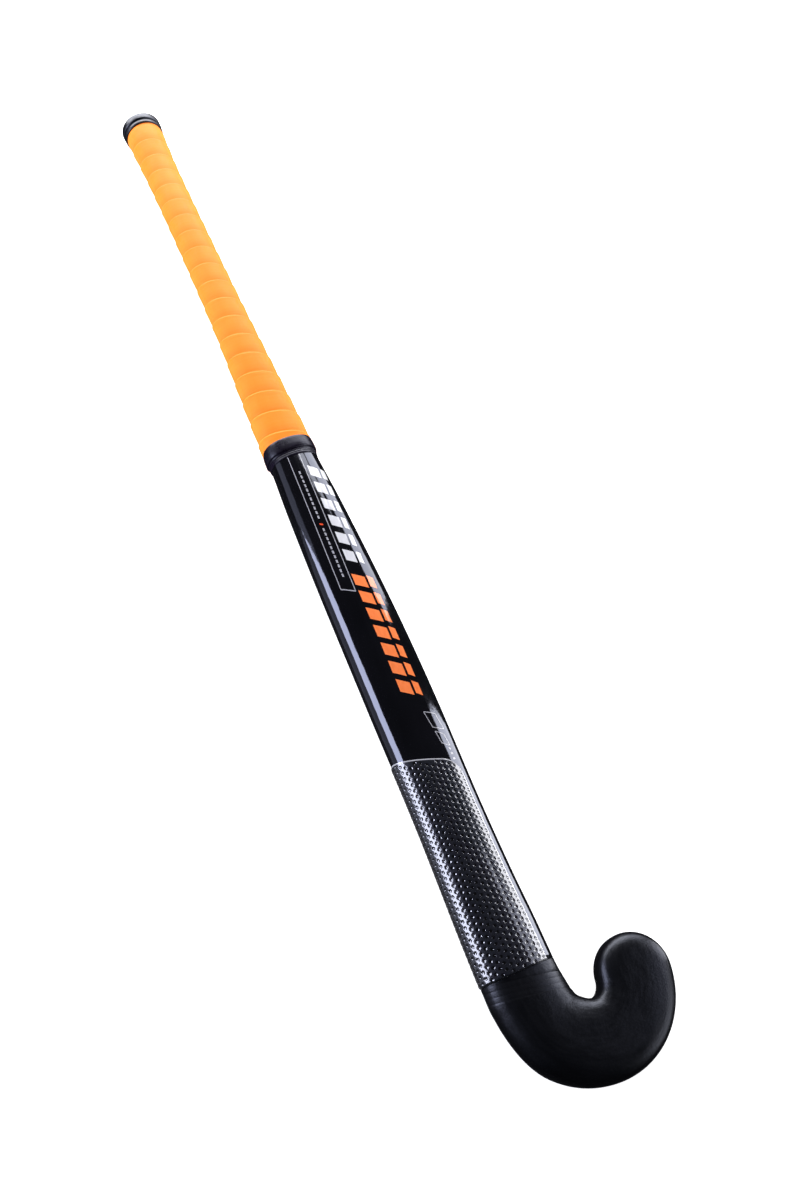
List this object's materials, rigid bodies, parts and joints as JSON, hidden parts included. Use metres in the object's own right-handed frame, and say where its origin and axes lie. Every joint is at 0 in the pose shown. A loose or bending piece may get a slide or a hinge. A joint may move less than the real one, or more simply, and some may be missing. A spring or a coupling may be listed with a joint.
{
  "type": "field hockey stick",
  "caption": "Wooden field hockey stick with a hooked matt head, gloss shaft, clear dimpled film, spiral wrapped grip and rubber butt cap.",
  "frame": {"origin": "centre of the bounding box in X and Y, on the plane of the flat playing face, on which the stick lies", "axes": "+Y along the shaft from the hook to the butt, +Z out of the rounded back, +X from the shaft to the toe of the hook"},
  "size_m": [0.1157, 0.8636, 0.0426],
  "materials": {
    "head_paint": "black matt paint over a glass-fibre sock, faint grain and small dents",
    "shaft_lacquer": "deep black gloss lacquer over glass fibre, slight orange peel, plain printed bars",
    "head_wood": "steam-bent mulberry, unfinished inside the skin",
    "handle_wood": "straight-grained staves, unfinished inside the skin",
    "band_tape": "black binding tape, painted over with the head",
    "clear_film": "clear film embossed with a close lattice of round dimples",
    "grip_wrap": "orange polyurethane wrap, soft satin, spiral laps",
    "finishing_tape": "black stretched vinyl tape",
    "cap_rubber": "black moulded rubber, satin"
  },
  "bodies": {
    "root": {"head_sleeve": "head_paint", "shaft_sleeve": "shaft_lacquer", "head_lamination_1": "head_wood", "head_lamination_2": "head_wood", "head_lamination_3": "head_wood", "head_lamination_4": "head_wood", "head_lamination_5": "head_wood", "handle_stave_left": "handle_wood", "handle_stave_centre": "handle_wood", "handle_stave_right": "handle_wood", "neck_band_1": "band_tape", "neck_band_2": "band_tape", "neck_band_3": "band_tape", "dimple_film": "clear_film", "grip_tape": "grip_wrap", "finishing_tape": "finishing_tape", "butt_cap": "cap_rubber"}
  },
  "joints": []
}
